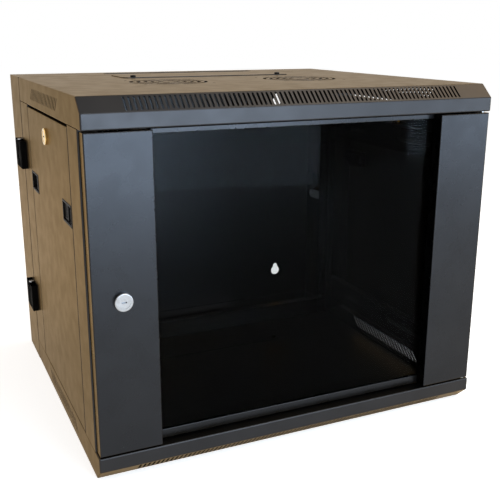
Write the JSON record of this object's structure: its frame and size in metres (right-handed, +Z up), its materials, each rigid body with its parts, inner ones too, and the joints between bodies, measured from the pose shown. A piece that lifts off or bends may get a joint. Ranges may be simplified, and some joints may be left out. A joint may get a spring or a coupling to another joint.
{
  "type": "wall mount network cabinet",
  "caption": "Black steel wall cabinet for 19-inch network gear, with a glass door, a hinged wall section, vented top and base, and lift-off side panels.",
  "frame": {"origin": "centre of the four wall keyholes, on the wall face of the back plate", "axes": "+Y into the wall, +Z up, +X to the right of someone facing the door"},
  "size_m": [0.6125, 0.551, 0.5052],
  "materials": {
    "case_paint": "black powder coat, smooth satin",
    "rail_paint": "black powder coat on the inner frame",
    "hinge_paint": "black e-coat on die-cast hinge leaves",
    "glass": "clear toughened glass",
    "lock_chrome": "bright chrome plate",
    "latch_plastic": "black moulded ABS",
    "zinc_steel": "zinc plated",
    "nylon": "natural nylon",
    "black_steel": "black oxide on steel screws"
  },
  "bodies": {
    "wall_section": {"wall_channel": "case_paint", "wall_top_cap": "case_paint", "wall_bottom_cap": "case_paint", "wall_hinge_leaves": "hinge_paint", "hinge_pins": "zinc_steel", "wall_hinge_screws": "zinc_steel", "wall_earth_stud": "zinc_steel", "section_lock_housing": "lock_chrome"},
    "section_lock": {"section_lock_plug": "lock_chrome", "section_lock_cam": "zinc_steel"},
    "swing_section": {"top_tray": "case_paint", "bottom_tray": "case_paint", "top_cable_cover": "case_paint", "bottom_cable_cover": "case_paint", "cover_screws": "black_steel", "left_front_post": "case_paint", "left_rear_post": "case_paint", "right_front_post": "case_paint", "right_rear_post": "case_paint", "left_lower_brace": "rail_paint", "left_upper_brace": "rail_paint", "right_lower_brace": "rail_paint", "right_upper_brace": "rail_paint", "left_front_rail": "rail_paint", "left_rear_rail": "rail_paint", "right_front_rail": "rail_paint", "right_rear_rail": "rail_paint", "rail_bolts": "black_steel", "frame_screws": "black_steel", "swing_hinge_leaves": "hinge_paint", "swing_hinge_screws": "zinc_steel", "section_catch": "rail_paint", "door_washer": "nylon", "swing_earth_stud": "zinc_steel"},
    "door": {"door_left_strip": "case_paint", "door_right_strip": "case_paint", "door_top_rail": "case_paint", "door_bottom_rail": "case_paint", "door_glass": "glass", "door_pivots": "zinc_steel", "door_lock_housing": "lock_chrome"},
    "door_lock": {"door_lock_plug": "lock_chrome", "door_lock_cam": "zinc_steel"},
    "left_panel": {"left_side_panel": "case_paint", "left_latch_housings": "latch_plastic", "left_lock_housing": "lock_chrome"},
    "left_panel_lock": {"left_lock_plug": "lock_chrome", "left_lock_cam": "zinc_steel"},
    "left_front_latch": {"left_front_latch_slider": "latch_plastic"},
    "left_rear_latch": {"left_rear_latch_slider": "latch_plastic"},
    "right_panel": {"right_side_panel": "case_paint", "right_latch_housings": "latch_plastic", "right_lock_housing": "lock_chrome"},
    "right_panel_lock": {"right_lock_plug": "lock_chrome", "right_lock_cam": "zinc_steel"},
    "right_front_latch": {"right_front_latch_slider": "latch_plastic"},
    "right_rear_latch": {"right_rear_latch_slider": "latch_plastic"}
  },
  "joints": [
    {"name": "swing_open", "type": "hinge", "parent": "wall_section", "child": "swing_section", "pos_m": [-0.3045, -0.095, 0], "axis": [0, 0, -1], "range_deg": [0, 95]},
    {"name": "section_lock_turn", "type": "hinge", "parent": "wall_section", "child": "section_lock", "pos_m": [0.3, -0.05, -0.006], "axis": [-1, 0, 0], "range_deg": [0, 90]},
    {"name": "door_open", "type": "hinge", "parent": "swing_section", "child": "door", "pos_m": [0.292, -0.536, 0], "axis": [0, 0, 1], "range_deg": [0, 180]},
    {"name": "door_lock_turn", "type": "hinge", "parent": "door", "child": "door_lock", "pos_m": [-0.259, -0.545, -0.006], "axis": [0, 1, 0], "range_deg": [0, 90]},
    {"name": "left_panel_tilt", "type": "hinge", "parent": "swing_section", "child": "left_panel", "pos_m": [-0.3, 0, -0.2176], "axis": [0, -1, 0], "range_deg": [0, 20]},
    {"name": "left_panel_lock_turn", "type": "hinge", "parent": "left_panel", "child": "left_panel_lock", "pos_m": [-0.3, -0.31725, 0.1735], "axis": [1, 0, 0], "range_deg": [0, 90]},
    {"name": "left_front_latch_slide", "type": "slide", "parent": "left_panel", "child": "left_front_latch", "axis": [0, -1, 0], "range_m": [0, 0.008]},
    {"name": "left_rear_latch_slide", "type": "slide", "parent": "left_panel", "child": "left_rear_latch", "axis": [0, 1, 0], "range_m": [0, 0.008]},
    {"name": "right_panel_tilt", "type": "hinge", "parent": "swing_section", "child": "right_panel", "pos_m": [0.3, 0, -0.2176], "axis": [0, 1, 0], "range_deg": [0, 20]},
    {"name": "right_panel_lock_turn", "type": "hinge", "parent": "right_panel", "child": "right_panel_lock", "pos_m": [0.3, -0.31725, 0.1735], "axis": [1, 0, 0], "range_deg": [0, 90]},
    {"name": "right_front_latch_slide", "type": "slide", "parent": "right_panel", "child": "right_front_latch", "axis": [0, -1, 0], "range_m": [0, 0.008]},
    {"name": "right_rear_latch_slide", "type": "slide", "parent": "right_panel", "child": "right_rear_latch", "axis": [0, 1, 0], "range_m": [0, 0.008]}
  ]
}
